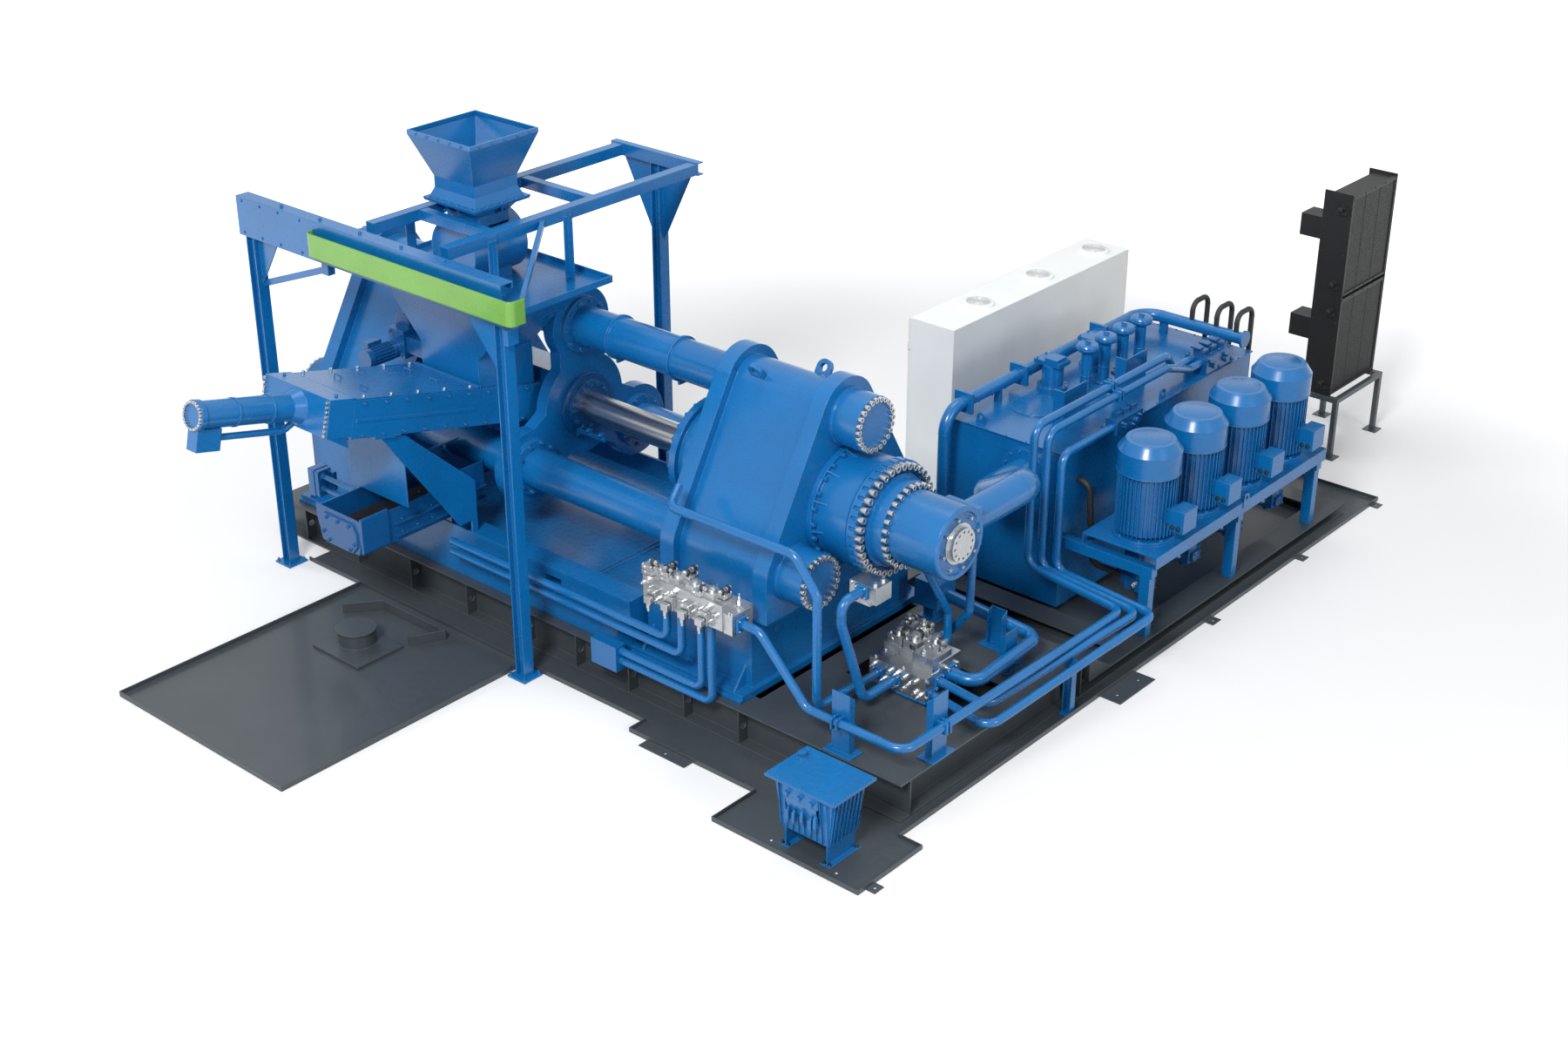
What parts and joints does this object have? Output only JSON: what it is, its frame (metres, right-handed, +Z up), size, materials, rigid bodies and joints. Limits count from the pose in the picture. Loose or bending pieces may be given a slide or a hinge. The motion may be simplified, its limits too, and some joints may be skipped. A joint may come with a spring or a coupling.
{
  "type": "hydraulic briquetting press",
  "caption": "Horizontal briquetting press with a sloping pre-compactor, hopper gantry, discharge trough, and oil power unit with cooler and cabinet.",
  "frame": {"origin": "on the floor, under the axis of the main press, 1.04 m from the rear face of the main crosshead", "axes": "+X along the press axis towards the main cylinder, +Y away from the discharge side towards the power unit, +Z up"},
  "size_m": [9.5243, 14.164, 5.05],
  "materials": {
    "blue_paint": "semi-gloss enamel",
    "dark_blue_paint": "semi-gloss enamel",
    "grey_paint": "satin",
    "zinc_steel": "bright zinc plated",
    "ground_steel": "ground and hard chromed",
    "light_grey_paint": "powder coat",
    "black_paint": "satin",
    "black_rubber": "matt",
    "green_paint": "semi-gloss"
  },
  "bodies": {
    "frame": {"base_frame": "grey_paint", "drip_tray": "grey_paint", "catch_tray": "grey_paint", "tray_fittings": "grey_paint", "press_bed": "blue_paint", "bed_trough": "blue_paint", "main_crosshead": "blue_paint", "die_crosshead": "blue_paint", "front_plate": "blue_paint", "tie_rods": "blue_paint", "rod_end_bolts": "zinc_steel", "main_cylinder": "blue_paint", "cylinder_bolts": "zinc_steel", "rear_cap": "blue_paint", "cap_flange": "zinc_steel", "ram_guide": "dark_blue_paint", "press_chamber": "blue_paint", "compactor_box": "blue_paint", "compactor_cover": "blue_paint", "compactor_cylinder": "blue_paint", "compactor_bolts": "zinc_steel", "compactor_stand": "blue_paint", "hopper": "blue_paint", "funnel": "blue_paint", "feeder_drum": "blue_paint", "feed_chute": "blue_paint", "gear_motor": "dark_blue_paint", "gantry_front": "blue_paint", "gantry_rear": "blue_paint", "front_band": "green_paint", "platform": "blue_paint", "discharge_trough": "dark_blue_paint", "tank": "blue_paint", "tank_filters": "blue_paint", "return_pipe": "blue_paint", "tank_valves": "dark_blue_paint", "suction_pipe": "blue_paint", "motor_bench": "blue_paint", "motor_1": "blue_paint", "motor_2": "blue_paint", "motor_3": "blue_paint", "motor_4": "blue_paint", "pumps": "dark_blue_paint", "pressure_pipes": "blue_paint", "cylinder_pipes": "blue_paint", "bed_pipes": "blue_paint", "manifolds": "zinc_steel", "pipe_supports": "blue_paint", "cabinet": "light_grey_paint", "coolers": "black_paint", "cooler_stand": "grey_paint", "lube_tank": "blue_paint", "hoses": "black_rubber"},
    "main_ram": {"main_ram": "ground_steel"},
    "compactor_ram": {"compactor_ram": "ground_steel"},
    "feeder_shaft": {"feeder_shaft": "dark_blue_paint"},
    "cabinet_door_1": {"cabinet_door_1": "light_grey_paint"},
    "cabinet_door_2": {"cabinet_door_2": "light_grey_paint"},
    "cooler_fan_1": {"cooler_fan_1": "black_paint"},
    "cooler_fan_2": {"cooler_fan_2": "black_paint"}
  },
  "joints": [
    {"name": "ram_slide", "type": "slide", "parent": "frame", "child": "main_ram", "axis": [-1, 0, 0], "range_m": [0, 1.35]},
    {"name": "slab_slide", "type": "slide", "parent": "frame", "child": "compactor_ram", "axis": [0, 0.9703, -0.2419], "range_m": [0, 1.1]},
    {"name": "feeder_spin", "type": "hinge", "parent": "frame", "child": "feeder_shaft", "pos_m": [-3.35, -0.615, 3.84], "axis": [0, 1, 0], "continuous": true},
    {"name": "door_hinge_1", "type": "hinge", "parent": "frame", "child": "cabinet_door_1", "pos_m": [-1.297, 3.952, 1.1], "axis": [0, 0, 1], "range_deg": [0, 110]},
    {"name": "door_hinge_2", "type": "hinge", "parent": "frame", "child": "cabinet_door_2", "pos_m": [-1.297, 7.548, 1.1], "axis": [0, 0, -1], "range_deg": [0, 110]},
    {"name": "fan_spin_1", "type": "hinge", "parent": "frame", "child": "cooler_fan_1", "pos_m": [1.7, 8.65, 1.415], "axis": [1, 0, 0], "continuous": true},
    {"name": "fan_spin_2", "type": "hinge", "parent": "frame", "child": "cooler_fan_2", "pos_m": [1.7, 8.65, 2.6853], "axis": [1, 0, 0], "continuous": true}
  ]
}
